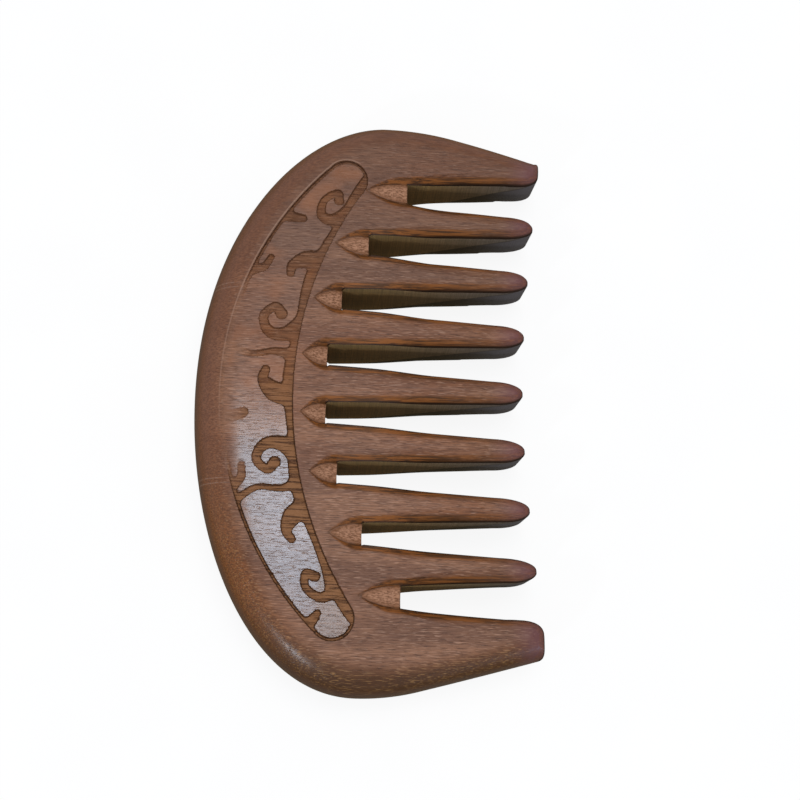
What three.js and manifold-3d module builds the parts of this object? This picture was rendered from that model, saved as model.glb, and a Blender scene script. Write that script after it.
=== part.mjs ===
// Wide tooth comb, sawn and carved from one board of hardwood.
//
// The comb lies flat on its back face. Units are millimetres. +Z is up through the thickness,
// +Y runs along the comb's length and +X runs along the teeth, from the curved back to the tips.
// The origin is the middle of the bounding box, on the surface that the comb lies on.

import * as THREE from 'three';
import { mergeVertices } from 'three/addons/utils/BufferGeometryUtils.js';
import Module from 'manifold-3d';

const wasm = await Module();
wasm.setup();

// ---- Driving dimensions -------------------------------------------------------------------

const LENGTH = 109.4; // along Y, across the nine teeth
const WIDTH = 64.7; // along X, from the crest of the back to the longest tooth tip
const THICKNESS = 13.4; // of the board

const TOOTH_COUNT = 9; // two broad end teeth and seven inner teeth
const PITCH = 10.97; // from one inner tooth to the next
const TEETH_SHIFT = 1.18; // the row of teeth sits this far towards +Y in the board

// Each half of the back is a quarter of a superellipse, then a shoulder arc and a straight end
// edge that closes in towards the tips. The halves differ a little, as hand-shaped ones do.
const UPPER_HALF = { depth: 33.9, powerX: 1.84, powerY: 2.08, shoulder: 56, endSlope: 14.9 };
const LOWER_HALF = { depth: 31.65, powerX: 2.1, powerY: 1.94, shoulder: 43, endSlope: 15.4 };
const EDGE_ROUND = 5.6; // how far in from the outline the rounded edge reaches

// Slots: parallel to X, with roots on one curve and tips on another.
const SLOT_ROOT_X = -8.33; // root of an imaginary slot on the centre line
const SLOT_ROOT_CURVE = 50.6; // radius of the curve through the roots
const ROOT_SKEW = -0.029; // the roots and the ramps lie slightly nearer the back towards +Y
const SLOT_ROOT_WIDTH = 3.9;
const SLOT_MOUTH_WIDTH = 6.47; // where the tips' rounding starts
const SLOT_MOUTH_SLOPE = 0.045; // of each wall at the mouth, mm per mm
const SLOT_BEND = 1 / 3; // the walls bend this far along the slot
const TIP_BOW = { slope: 0.133, bend: 24 }; // the tips lie on a shallow hyperbola
const TIP_SKEW = -0.0125; // the teeth grow slightly longer towards -Y
const TIP_ROUND = 5.6; // length of an inner tooth's rounded end
const TIP_FULLNESS = 0.6; // a little over a half ellipse's 0.55

// Corners of the end teeth's tips: how far each reaches along the tooth and across it.
const UPPER_END_TIP = { inner: [4.8, 2.7], outer: [3.6, 1.6] };
const LOWER_END_TIP = { inner: [4.6, 2.8], outer: [0.6, 0.6] };

// Edges along the teeth.
const CHAMFER_AT_ROOT = 0.35; // beside the imaginary slot's root
const CHAMFER_AT_TIP = 1.5;
const TAPER_PER_SIDE = 1.2; // both faces draw together from the slot's root to the tips

// A ramp leads down from each face to each slot's root. In plan it is a pointed arch.
const RAMP_POINT_X = -12.9; // point of an imaginary ramp on the centre line
const RAMP_POINT_CURVE = 65;
const RAMP_DEPTH = 1.5; // at the slot's root
const RAMP_MARGIN = 0.2; // the arch is this much wider than the slot on each side
const RAMP_BEND = 0.45; // the arch's sides bend this far along it

// Carved crescent on the front face.
const CARVING_DEPTH = 0.45;
const CARVING_INNER = { x: -14.15, radius: 71.2 };
const CARVING_OUTER = { x: -27.1, radius: 61.4 };
const CARVING_END_ROUND = 3.9;

const BEYOND = 20; // cutters reach this far past the board
const CUT_STEPS = 6; // straight steps along each curved stretch of the teeth

// ---- Curves that the comb is laid out on --------------------------------------------------

const CREST_X = -WIDTH / 2;
const LAST_TIP_X = WIDTH / 2;

const bowedLine = (x, curve, y) => x + ROOT_SKEW * y + (y * y) / (2 * curve);
const slotRootX = (y) => bowedLine(SLOT_ROOT_X, SLOT_ROOT_CURVE, y);
const rampPointX = (y) => bowedLine(RAMP_POINT_X, RAMP_POINT_CURVE, y);
const toothY = (tooth) => ((TOOTH_COUNT - 1) / 2 - tooth) * PITCH + TEETH_SHIFT;
const tipReach = (y) => TIP_BOW.slope * (Math.hypot(y, TIP_BOW.bend) - TIP_BOW.bend)
  + TIP_SKEW * y;
const TIP_X = LAST_TIP_X - tipReach(toothY(TOOTH_COUNT - 1)); // on the centre line
const tipX = (y) => TIP_X + tipReach(y);
const slotY = (slot) => toothY(slot + 0.5);

// ---- Solids and booleans ------------------------------------------------------------------

function toSolid(geometry) {
  geometry.deleteAttribute('normal');
  geometry.deleteAttribute('uv');
  const merged = mergeVertices(geometry, 1e-4);
  return new wasm.Manifold(new wasm.Mesh({
    numProp: 3,
    vertProperties: new Float32Array(merged.attributes.position.array),
    triVerts: new Uint32Array(merged.index.array),
  }));
}

function toGeometry(solid) {
  const mesh = solid.getMesh();
  const geometry = new THREE.BufferGeometry();
  geometry.setAttribute('position', new THREE.BufferAttribute(mesh.vertProperties, 3));
  geometry.setIndex(new THREE.BufferAttribute(mesh.triVerts, 1));
  geometry.computeVertexNormals();
  return geometry;
}

function extrudeBetween(shape, low, high, curveSegments) {
  const options = { depth: high - low, bevelEnabled: false, curveSegments };
  return new THREE.ExtrudeGeometry(shape, options).translate(0, 0, low);
}

const mirrorToBack = (geometry) =>
  geometry.rotateX(Math.PI).scale(1, -1, 1).translate(0, 0, THICKNESS);

function flipFaces(geometry) {
  const flat = geometry.index ? geometry.toNonIndexed() : geometry;
  const points = flat.attributes.position;
  const corner = new THREE.Vector3();
  const other = new THREE.Vector3();
  for (let i = 0; i < points.count; i += 3) {
    corner.fromBufferAttribute(points, i);
    other.fromBufferAttribute(points, i + 1);
    points.setXYZ(i, other.x, other.y, other.z);
    points.setXYZ(i + 1, corner.x, corner.y, corner.z);
  }
  return flat;
}

// Where two cutters graze each other, flakes too thin to see can be left beside the solid.
function withoutFlakes(solid) {
  const bodies = solid.decompose().sort((a, b) => b.volume() - a.volume());
  return bodies[0];
}

// A cutter whose shape is drawn for the front face also cuts its mirror image into the back face.
function cutBothFaces(solid, makeCutter) {
  const front = toSolid(makeCutter());
  const back = toSolid(flipFaces(mirrorToBack(makeCutter())));
  return solid.subtract(front).subtract(back);
}

// ---- The board's outline ------------------------------------------------------------------

function superellipsePoint(half, turn) {
  const x = CREST_X + half.depth * (1 - Math.cos(turn) ** (2 / half.powerX));
  const y = (LENGTH / 2) * Math.sin(turn) ** (2 / half.powerY);
  return new THREE.Vector2(x, y);
}

// Distance of the straight end edge from the centre line, at a place along X.
function endEdgeY(half, x) {
  const slope = THREE.MathUtils.degToRad(half.endSlope);
  const startX = CREST_X + half.depth + half.shoulder * Math.sin(slope);
  const startY = LENGTH / 2 - half.shoulder * (1 - Math.cos(slope));
  return startY - (x - startX) * Math.tan(slope);
}

// One half of the outline, from the crest of the back to past the tip, on the +Y side.
function halfOutline(half) {
  const steps = 36;
  const shoulderSteps = 5;
  const widestX = CREST_X + half.depth;
  const slope = THREE.MathUtils.degToRad(half.endSlope);
  const points = [];
  for (let i = 0; i <= steps; i += 1) {
    points.push(superellipsePoint(half, (i / steps) * (Math.PI / 2)));
  }
  for (let i = 1; i <= shoulderSteps; i += 1) {
    const turn = (i / shoulderSteps) * slope;
    points.push(new THREE.Vector2(
      widestX + half.shoulder * Math.sin(turn),
      LENGTH / 2 - half.shoulder * (1 - Math.cos(turn)),
    ));
  }
  const endX = LAST_TIP_X + BEYOND / 2;
  points.push(new THREE.Vector2(endX, endEdgeY(half, endX)));
  return points;
}

function boardOutline() {
  const upper = halfOutline(UPPER_HALF);
  const lower = halfOutline(LOWER_HALF).map((point) => new THREE.Vector2(point.x, -point.y));
  return new THREE.Shape([...upper.reverse(), ...lower.slice(1)]);
}

// The rounded edge is a quarter ellipse on each face. A thin flat rim at the board's middle plane
// is left between the two.
function board() {
  const rim = 0.2;
  const roundDepth = (THICKNESS - rim) / 2;
  const geometry = new THREE.ExtrudeGeometry(boardOutline(), {
    depth: rim,
    bevelThickness: roundDepth,
    bevelSize: EDGE_ROUND,
    bevelOffset: -EDGE_ROUND,
    bevelSegments: 7,
  });
  return toSolid(geometry.translate(0, 0, roundDepth));
}

// ---- Teeth and slots ----------------------------------------------------------------------

// A slot's wall leaves its mouth at a fixed slope and bends towards its root.
function wallBend(root, mouth) {
  const x = root.x + (mouth.x - root.x) * SLOT_BEND;
  const side = Math.sign(mouth.y - root.y);
  return new THREE.Vector2(x, mouth.y - side * SLOT_MOUTH_SLOPE * (mouth.x - x));
}

function slotCorners(slot) {
  const y = slotY(slot);
  const root = slotRootX(y);
  const mouth = Math.min(tipX(toothY(slot)), tipX(toothY(slot + 1))) - TIP_ROUND;
  const rootHalf = SLOT_ROOT_WIDTH / 2;
  const mouthHalf = SLOT_MOUTH_WIDTH / 2;
  return {
    upperMouth: new THREE.Vector2(mouth, y + mouthHalf),
    upperRoot: new THREE.Vector2(root, y + rootHalf),
    lowerRoot: new THREE.Vector2(root, y - rootHalf),
    lowerMouth: new THREE.Vector2(mouth, y - mouthHalf),
  };
}

// The rounded end of an inner tooth is a half ellipse, very slightly blunted.
function roundTip(shape, tooth, from, to) {
  const tip = tipX(toothY(tooth));
  const middle = (from.y + to.y) / 2;
  const reach = THREE.MathUtils.lerp(from.x, tip, TIP_FULLNESS);
  const above = THREE.MathUtils.lerp(middle, from.y, TIP_FULLNESS);
  const below = THREE.MathUtils.lerp(middle, to.y, TIP_FULLNESS);
  shape.bezierCurveTo(reach, from.y, tip, above, tip, middle);
  shape.bezierCurveTo(tip, below, reach, to.y, to.x, to.y);
}

// The tip of an end tooth, followed from the tooth's outer edge to its slot. side is 1 for the
// tooth on the +Y side and -1 for the other.
function endTip(tooth, half, corners, slotCorner, side) {
  const tip = tipX(toothY(tooth));
  const [outerAlong, outerAcross] = corners.outer;
  const [innerAlong, innerAcross] = corners.inner;
  const edge = (x) => side * endEdgeY(half, x);
  const path = new THREE.Path();
  path.moveTo(tip - outerAlong, side * (LENGTH / 2 + BEYOND));
  path.lineTo(tip - outerAlong, edge(tip - outerAlong));
  path.quadraticCurveTo(tip, edge(tip), tip, edge(tip) - side * outerAcross);
  path.lineTo(tip, slotCorner.y + side * innerAcross);
  path.quadraticCurveTo(tip, slotCorner.y, tip - innerAlong, slotCorner.y);
  const steps = 5;
  return path.getPoints(steps);
}

// Everything that is cut away around the teeth is one connected area: the eight slots and the
// open space past the tips.
function toothCutOutline() {
  const shape = new THREE.Shape();
  const farX = LAST_TIP_X + BEYOND;
  const farY = LENGTH / 2 + BEYOND;
  const last = TOOTH_COUNT - 1;
  let corners = slotCorners(0);
  shape.moveTo(farX, farY);
  endTip(0, UPPER_HALF, UPPER_END_TIP, corners.upperMouth, 1)
    .forEach(({ x, y }) => shape.lineTo(x, y));
  for (let slot = 0; slot < last; slot += 1) {
    const { upperMouth, upperRoot, lowerRoot, lowerMouth } = corners;
    const upperBend = wallBend(upperRoot, upperMouth);
    const lowerBend = wallBend(lowerRoot, lowerMouth);
    shape.lineTo(upperMouth.x, upperMouth.y);
    shape.quadraticCurveTo(upperBend.x, upperBend.y, upperRoot.x, upperRoot.y);
    shape.lineTo(lowerRoot.x, lowerRoot.y);
    shape.quadraticCurveTo(lowerBend.x, lowerBend.y, lowerMouth.x, lowerMouth.y);
    if (slot < last - 1) {
      corners = slotCorners(slot + 1);
      roundTip(shape, slot + 1, lowerMouth, corners.upperMouth);
    }
  }
  endTip(last, LOWER_HALF, LOWER_END_TIP, corners.lowerMouth, -1).reverse()
    .forEach(({ x, y }) => shape.lineTo(x, y));
  shape.lineTo(farX, -farY);
  return shape;
}

// Turns a cutter drawn above the front face so that it sinks towards the tips.
function sinkTowardsTips(geometry, startDepth, depthAtTip) {
  const turn = Math.atan(depthAtTip / (TIP_X - SLOT_ROOT_X));
  return geometry.rotateY(turn).translate(SLOT_ROOT_X, 0, THICKNESS - startDepth);
}

// The cutter's foot stands a little inside the slots, so that it crosses their walls cleanly.
function toothChamfer() {
  const foot = 0.1;
  const reach = foot + CHAMFER_AT_TIP + 1;
  const geometry = new THREE.ExtrudeGeometry(toothCutOutline(), {
    depth: reach,
    bevelThickness: reach,
    bevelSize: reach,
    bevelOffset: -foot,
    bevelSegments: 1,
    curveSegments: CUT_STEPS,
  });
  geometry.translate(-SLOT_ROOT_X, 0, reach - foot);
  return sinkTowardsTips(geometry, CHAMFER_AT_ROOT,
    TAPER_PER_SIDE + CHAMFER_AT_TIP - CHAMFER_AT_ROOT);
}

function faceTaper() {
  const reach = LAST_TIP_X - SLOT_ROOT_X + BEYOND;
  const wedge = new THREE.BoxGeometry(reach, LENGTH + BEYOND, BEYOND);
  return sinkTowardsTips(wedge.translate(reach / 2, 0, BEYOND / 2), 0, TAPER_PER_SIDE);
}

function rootRamp(slot) {
  const y = slotY(slot);
  const root = slotRootX(y);
  const length = root - rampPointX(y);
  const half = SLOT_ROOT_WIDTH / 2 + RAMP_MARGIN;
  const blunt = length + 1; // the ramp's blunt end is inside the slot
  const bend = length * RAMP_BEND;
  const arch = new THREE.Shape();
  arch.moveTo(0, 0);
  arch.quadraticCurveTo(bend, -half, blunt, -half);
  arch.lineTo(blunt, half);
  arch.quadraticCurveTo(bend, half, 0, 0);
  const slope = Math.atan(RAMP_DEPTH / length);
  const steps = 6;
  return extrudeBetween(arch, 0, RAMP_DEPTH * 3, steps).rotateY(slope)
    .translate(root - length, y, THICKNESS);
}

// ---- Carving ------------------------------------------------------------------------------

// The crescent lies between two arcs, and a round end touches both of them at each side.
function crescentShape() {
  const innerCentreX = CARVING_INNER.x + CARVING_INNER.radius;
  const outerCentreX = CARVING_OUTER.x + CARVING_OUTER.radius;
  const innerReach = CARVING_INNER.radius + CARVING_END_ROUND;
  const outerReach = CARVING_OUTER.radius - CARVING_END_ROUND;
  const endX = (outerReach ** 2 - innerReach ** 2 + innerCentreX ** 2 - outerCentreX ** 2)
    / (2 * (innerCentreX - outerCentreX));
  const endY = Math.sqrt(innerReach ** 2 - (endX - innerCentreX) ** 2);
  const innerTurn = Math.atan2(endY, endX - innerCentreX);
  const outerTurn = Math.atan2(endY, endX - outerCentreX);
  const shape = new THREE.Shape();
  shape.absarc(outerCentreX, 0, CARVING_OUTER.radius, outerTurn, -outerTurn, false);
  shape.absarc(endX, -endY, CARVING_END_ROUND, -outerTurn, Math.PI - innerTurn, false);
  shape.absarc(innerCentreX, 0, CARVING_INNER.radius, -innerTurn, innerTurn, true);
  shape.absarc(endX, endY, CARVING_END_ROUND, innerTurn - Math.PI, outerTurn, false);
  return shape;
}

function crescent() {
  const steps = 14;
  return extrudeBetween(crescentShape(), THICKNESS - CARVING_DEPTH, THICKNESS + BEYOND, steps);
}

// ---- The comb -----------------------------------------------------------------------------

function comb() {
  const teeth = extrudeBetween(toothCutOutline(), -BEYOND, THICKNESS + BEYOND, CUT_STEPS);
  let solid = board().subtract(toSolid(teeth));
  solid = cutBothFaces(solid, faceTaper);
  solid = cutBothFaces(solid, toothChamfer);
  for (let slot = 0; slot < TOOTH_COUNT - 1; slot += 1) {
    solid = cutBothFaces(solid, () => rootRamp(slot));
  }
  solid = withoutFlakes(solid.subtract(toSolid(crescent())));
  const wood = new THREE.MeshStandardMaterial({ color: 0x7d5a4a, roughness: 0.5, metalness: 0 });
  const mesh = new THREE.Mesh(toGeometry(solid), wood);
  mesh.name = 'comb';
  return mesh;
}

const part = new THREE.Group();
part.add(comb());

export default part;
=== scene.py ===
# Wide tooth comb: its fine surface and finish, with the floor, the light and the camera.
#
# Shapes are worked out in millimetres in the comb's own frame: +X runs along the teeth, +Y along
# the comb's length and +Z up through its thickness. Meshes are made in metres.

import math

import bpy
import numpy as np
from mathutils import Matrix, Vector, kdtree
from mathutils.geometry import delaunay_2d_cdt


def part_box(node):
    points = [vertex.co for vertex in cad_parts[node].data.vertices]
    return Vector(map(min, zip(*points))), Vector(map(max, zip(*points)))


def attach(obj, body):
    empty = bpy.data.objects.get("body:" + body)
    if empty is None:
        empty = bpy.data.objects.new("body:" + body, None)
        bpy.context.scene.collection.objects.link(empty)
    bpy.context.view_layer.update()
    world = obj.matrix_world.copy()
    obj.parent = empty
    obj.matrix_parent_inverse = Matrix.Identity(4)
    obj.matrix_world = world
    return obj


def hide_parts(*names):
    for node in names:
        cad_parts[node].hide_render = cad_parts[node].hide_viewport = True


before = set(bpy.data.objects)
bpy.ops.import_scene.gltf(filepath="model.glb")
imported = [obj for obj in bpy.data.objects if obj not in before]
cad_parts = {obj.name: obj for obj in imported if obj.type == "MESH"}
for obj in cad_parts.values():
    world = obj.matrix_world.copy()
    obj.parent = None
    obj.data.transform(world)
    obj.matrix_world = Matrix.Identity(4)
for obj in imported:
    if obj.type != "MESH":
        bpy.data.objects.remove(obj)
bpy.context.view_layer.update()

MM = 0.001

# ---- Driving dimensions ---------------------------------------------------------------------

LOWEST, HIGHEST = (np.array(corner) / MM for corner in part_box("comb"))
CREST_X, LAST_TIP_X = LOWEST[0], HIGHEST[0]
HALF_LENGTH = HIGHEST[1]
THICKNESS = HIGHEST[2]
MIDDLE = THICKNESS / 2

TOOTH_COUNT = 9
LAST_TOOTH = TOOTH_COUNT - 1
PITCH = 10.97
TEETH_SHIFT = 1.18

UPPER_HALF = dict(side=1, depth=33.9, power_x=1.84, power_y=2.08, shoulder=56, slope=14.9)
LOWER_HALF = dict(side=-1, depth=31.65, power_x=2.1, power_y=1.94, shoulder=43, slope=15.4)
EDGE_ROUND = 6.2  # how far in from the outline the rounded edge reaches, at the back
EDGE_ROUND_AT_TIPS = 4.2
STRAIGHT_BULGE = 0.03  # edges that look straight are this much round, as hand-sanded ones are
END_EDGE_BOW = 0.06  # the end edges are very slightly round along their length

SLOT_ROOT = dict(x=-8.33, curve=50.6)
ROOT_SKEW = -0.029  # the roots and the ramps lie slightly nearer the back towards +Y
SLOT_ROOT_WIDTH = 3.9
SLOT_MOUTH_WIDTH = 6.47  # where the tips' rounding starts
SLOT_MOUTH_SLOPE = 0.045
SLOT_BEND = 1 / 3
TIP_BOW = dict(slope=0.133, bend=24)
TIP_SKEW = -0.0125
TIP_ROUND = 5.6
TIP_FULLNESS = 0.6
UPPER_END_TIP = dict(inner=(4.8, 2.7), outer=(3.6, 1.6))  # along the tooth and across it
LOWER_END_TIP = dict(inner=(4.6, 2.8), outer=(0.6, 0.6))

BEVEL_WIDTH = (0.95, 2.1)  # of the bevels along the teeth, at the roots and at the tips
BEVEL_DEPTH = (0.35, 1.85)
BEVEL_STRIP = 1.2  # of it shows the cutter's work
TAPER_PER_SIDE = 1.2
TIP_FALL = 3.4  # length over which a tooth's face curves down to its tip
TIP_EDGE_SHARE = 0.58  # of the half thickness is left at the tip's edge
EDGE_SOFTNESS = 0.12  # over which a bevel turns into the face, at the slots' roots
RIDGE_MARGIN = 0.1  # the ridge stays this far inside its wall
WALL_LEAN = 0.035  # below its ridge a tooth's wall leans in by this much per mm
RIDGE_AT_ROOT = -1.6  # height of the ridge on the walls, which starts a little past the roots
RIDGE_AT_TIP = 11.3  # and has reached the front face's bevel just before the tips

RAMP_POINT = dict(x=-12.9, curve=65)
RAMP_DEPTH = 1.5

CARVING_DEPTH = 0.45
CARVING_INNER = dict(x=-14.15, radius=71.2)
CARVING_OUTER = dict(x=-27.1, radius=61.4)
CARVING_END_ROUND = 3.9

FLOOR_LEVEL = -0.02  # just under the comb, so that the two surfaces don't mix

# Mesh spacings
WALL_STEP = 0.4
COARSE_STEP = 0.75
FINE_STEP = 0.21
RIM_ROWS = np.radians([11, 22, 34, 46, 58, 70, 82, 92])  # turn of the rounded edge at each row
# Each row along the bevels lies at this share of their width, and this much further in
BEVEL_ROWS = ((0.14, 0), (0.38, 0), (0.7, 0), (1, 0), (1.05, 0.2), (1.15, 0.6))
EDGE_GAP = 0.07  # from a carved or sloping edge to the rows of points at its top and its foot
SHARP_ANGLE = 38  # degrees; edges that turn by more are shaded as edges

# Floor, light and camera, in metres
FLOOR_HALF_SIDE = 6
FLOOR_GLOW = 0.9
SKY_LIGHT = (0.46, 0.47, 0.49, 1)
LIGHT_FROM_BELOW = (0.17, 0.145, 0.09, 1)
# Where each light stands, its size, how bright its surface is and its colour
LIGHTS = dict(
    sheen=((-0.028, 0.168, 1.01), (0.1, 0.25), 9, (0.46, 0.7, 1)),
    key=((0.15, 0.3, 1.2), (0.9, 0.6), 4.3, (1, 0.97, 0.93)),
    low=((0.75, -0.75, 0.3), (0.5, 0.25), 4, (0.42, 0.7, 1)),
    glint=((-0.65, -0.76, 0.6), (0.09, 0.09), 110, (0.85, 0.92, 1)),
)
CAMERA_PLACE = (-0.00852, -0.06601, 0.2458)  # measured from the middle of the comb's thickness
CAMERA_TURN = dict(X=0.2633, Y=-0.0562, Z=0.0386)  # radians, in this order
CAMERA_LENS = 61.2


# ---- Curves that the comb is laid out on ----------------------------------------------------

def bowed(line, y):
    return line["x"] + ROOT_SKEW * y + y * y / (2 * line["curve"])


def tooth_y(tooth):
    return (LAST_TOOTH / 2 - tooth) * PITCH + TEETH_SHIFT


def slot_y(slot):
    return tooth_y(slot + 0.5)


def nearest_slot_y(y):
    """Middle of the slot that is nearest to a place along the comb's length."""
    slot = np.clip(np.round((slot_y(0) - y) / PITCH), 0, LAST_TOOTH - 1)
    return slot_y(0) - slot * PITCH


def tip_reach(y):
    return TIP_BOW["slope"] * (np.hypot(y, TIP_BOW["bend"]) - TIP_BOW["bend"]) + TIP_SKEW * y


TIP_X = LAST_TIP_X - tip_reach(tooth_y(LAST_TOOTH))


def tip_x(y):
    return TIP_X + tip_reach(y)


def along_tooth(x, y):
    """0 beside the nearest slot's root and 1 at the tips."""
    root = bowed(SLOT_ROOT, nearest_slot_y(y))
    return np.clip((x - root) / (tip_x(y) - root), 0, 1)


def bevel_width(along):
    root, tip = BEVEL_WIDTH
    return root + (tip - root) * (1 - (1 - along) ** 2.6)


def bevel_depth(x):
    root, tip = BEVEL_DEPTH
    return root + (tip - root) * smooth(0, 12, x)


def face_height(x):
    """The flat of the front face, which falls a little from the slots' roots to the tips."""
    share = np.clip((x - SLOT_ROOT["x"]) / (TIP_X - SLOT_ROOT["x"]), 0, 1.1)
    return THICKNESS - TAPER_PER_SIDE * share


def edge_round(x):
    return EDGE_ROUND + (EDGE_ROUND_AT_TIPS - EDGE_ROUND) * smooth(-8, 22, x)


def smooth(low, high, value):
    share = np.clip((value - low) / (high - low), 0, 1)
    return share * share * (3 - 2 * share)


def soft_min(a, b, blend):
    share = np.clip(0.5 + (b - a) / (2 * blend), 0, 1)
    return b + (a - b) * share - blend * share * (1 - share)


def soft_max(a, b, blend):
    return -soft_min(-a, -b, blend)


# ---- Plain curves ---------------------------------------------------------------------------

def bezier(controls, steps):
    """Points on the Bezier curve of any degree with these control points."""
    controls = np.array(controls, float)
    degree = len(controls) - 1
    t = np.linspace(0, 1, steps + 1)[:, None]
    curve = np.zeros((steps + 1, controls.shape[1]))
    for i, control in enumerate(controls):
        curve += math.comb(degree, i) * t**i * (1 - t) ** (degree - i) * control
    return curve


def bulged(start, end, bulge):
    """A run from start to end that bulges this far to its left in the middle."""
    start, end = np.array(start), np.array(end)
    run = end - start
    left = np.array([-run[1], run[0]]) / np.linalg.norm(run)
    return bezier([start, (start + end) / 2 + left * 2 * bulge, end], 40)


def curve_through(places, steps):
    """A smooth curve through all of the places (Catmull-Rom)."""
    places = np.array(places, float)
    ends = np.vstack([2 * places[0] - places[1], places, 2 * places[-1] - places[-2]])
    t = np.linspace(0, 1, steps, endpoint=False)[:, None]
    runs = []
    for a, b, c, d in zip(ends, ends[1:], ends[2:], ends[3:]):
        bend = 2 * a - 5 * b + 4 * c - d
        twist = 3 * b - a - 3 * c + d
        runs.append(b + t * (c - a) / 2 + t**2 * bend / 2 + t**3 * twist / 2)
    return np.vstack([*runs, places[-1]])


def resample(points, step):
    """The same open polyline with evenly spaced points, its two ends kept."""
    points = np.array(points, float)
    gaps = np.linalg.norm(np.diff(points, axis=0), axis=1)
    along = np.concatenate([[0], np.cumsum(gaps)])
    count = max(2, math.ceil(along[-1] / step) + 1)
    places = np.linspace(0, along[-1], count)
    return np.stack([np.interp(places, along, points[:, k]) for k in (0, 1)], axis=1)


def merge_runs(runs):
    """Runs that end where the next one starts, as one run without the doubled points."""
    points = np.vstack(runs)
    apart = np.linalg.norm(np.diff(points, axis=0), axis=1) > 0.02
    return points[np.append(True, apart)]


def segment_distance(places, a, b):
    """Distance to the segment from a to b, and how far along it the nearest point is."""
    run = b - a
    along = np.sum((places - a) * run, axis=-1) / np.maximum(np.sum(run * run, axis=-1), 1e-12)
    along = np.clip(along, 0, 1)
    return np.linalg.norm(places - a - along[..., None] * run, axis=-1), along


class Line:
    """A densely sampled polyline that answers how far away it is."""

    def __init__(self, points, step=0.05):
        self.points = resample(points, step)
        self.tree = point_tree(self.points)

    def distance(self, places):
        nearest = np.array([self.tree.find((x, y, 0))[1] for x, y in places])
        best = np.full(len(places), np.inf)
        for shift in (-1, 0):
            start = np.clip(nearest + shift, 0, len(self.points) - 2)
            a, b = self.points[start], self.points[start + 1]
            best = np.minimum(best, segment_distance(places, a, b)[0])
        return best


def point_tree(points):
    tree = kdtree.KDTree(len(points))
    for i, (x, y) in enumerate(points):
        tree.insert((x, y, 0), i)
    tree.balance()
    return tree


# ---- Outline --------------------------------------------------------------------------------

def end_edge_y(half, x):
    slope = math.radians(half["slope"])
    start_x = CREST_X + half["depth"] + half["shoulder"] * math.sin(slope)
    start_y = HALF_LENGTH - half["shoulder"] * (1 - math.cos(slope))
    return half["side"] * (start_y - (x - start_x) * math.tan(slope))


def back_curve(half, end_x):
    """One half of the back, from the crest past the shoulder to a place on the end edge."""
    turn = np.linspace(0, math.pi / 2, 120)
    x = CREST_X + half["depth"] * (1 - np.cos(turn) ** (2 / half["power_x"]))
    y = HALF_LENGTH * np.sin(turn) ** (2 / half["power_y"])
    around = np.linspace(0, math.radians(half["slope"]), 16)[1:]
    shoulder_x = CREST_X + half["depth"] + half["shoulder"] * np.sin(around)
    shoulder_y = HALF_LENGTH - half["shoulder"] * (1 - np.cos(around))
    points = np.stack([np.append(x, shoulder_x), np.append(y, shoulder_y)], axis=1)
    points[:, 1] *= half["side"]
    along = np.linspace(0, 1, 80)[1:]
    edge_x = points[-1, 0] + (end_x - points[-1, 0]) * along
    edge_y = end_edge_y(half, edge_x) + half["side"] * END_EDGE_BOW * 4 * along * (1 - along)
    return np.vstack([points, np.stack([edge_x, edge_y], axis=1)])


def slot_corners(slot):
    y = slot_y(slot)
    root = bowed(SLOT_ROOT, y)
    mouth = min(tip_x(tooth_y(slot)), tip_x(tooth_y(slot + 1))) - TIP_ROUND
    root_half, mouth_half = SLOT_ROOT_WIDTH / 2, SLOT_MOUTH_WIDTH / 2
    return dict(
        upper_mouth=np.array([mouth, y + mouth_half]),
        upper_root=np.array([root, y + root_half]),
        lower_root=np.array([root, y - root_half]),
        lower_mouth=np.array([mouth, y - mouth_half]),
    )


def slot_wall(root, mouth):
    """A slot's wall leaves its mouth at a fixed slope and bends towards its root."""
    bend_x = root[0] + (mouth[0] - root[0]) * SLOT_BEND
    side = np.sign(mouth[1] - root[1])
    bend_y = mouth[1] - side * SLOT_MOUTH_SLOPE * (mouth[0] - bend_x)
    return bezier([root, (bend_x, bend_y), mouth], 120)


def inner_tip(tooth, upper, lower):
    """The rounded end of an inner tooth, very slightly blunter than half an ellipse."""
    tip = tip_x(tooth_y(tooth))
    middle = np.array([tip, (upper[1] + lower[1]) / 2])
    halves = []
    for corner in (upper, lower):
        along = [corner[0] + (tip - corner[0]) * TIP_FULLNESS, corner[1]]
        across = [tip, middle[1] + (corner[1] - middle[1]) * TIP_FULLNESS]
        halves.append(bezier([corner, along, across, middle], 40))
    return np.vstack([halves[0], halves[1][::-1][1:]])


def end_tip(tooth, half, corners, slot_corner):
    """The end of a broad end tooth, from its outer edge to its slot."""
    tip, side, inner_y = tip_x(tooth_y(tooth)), half["side"], slot_corner[1]
    outer_along, outer_across = corners["outer"]
    inner_along, inner_across = corners["inner"]
    square = tip - STRAIGHT_BULGE
    outer_y = end_edge_y(half, tip)
    edge = (tip - outer_along, end_edge_y(half, tip - outer_along))
    outer_end = (square, outer_y - side * outer_across)
    inner_start = (square, inner_y + side * inner_across)
    inner_end = (tip - inner_along, inner_y)
    return merge_runs([
        bezier([edge, (square, outer_y), outer_end], 40),
        bulged(outer_end, inner_start, side * STRAIGHT_BULGE),
        bezier([inner_start, (square, inner_y), inner_end], 40),
        bulged(inner_end, slot_corner, side * STRAIGHT_BULGE),
    ])


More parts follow.
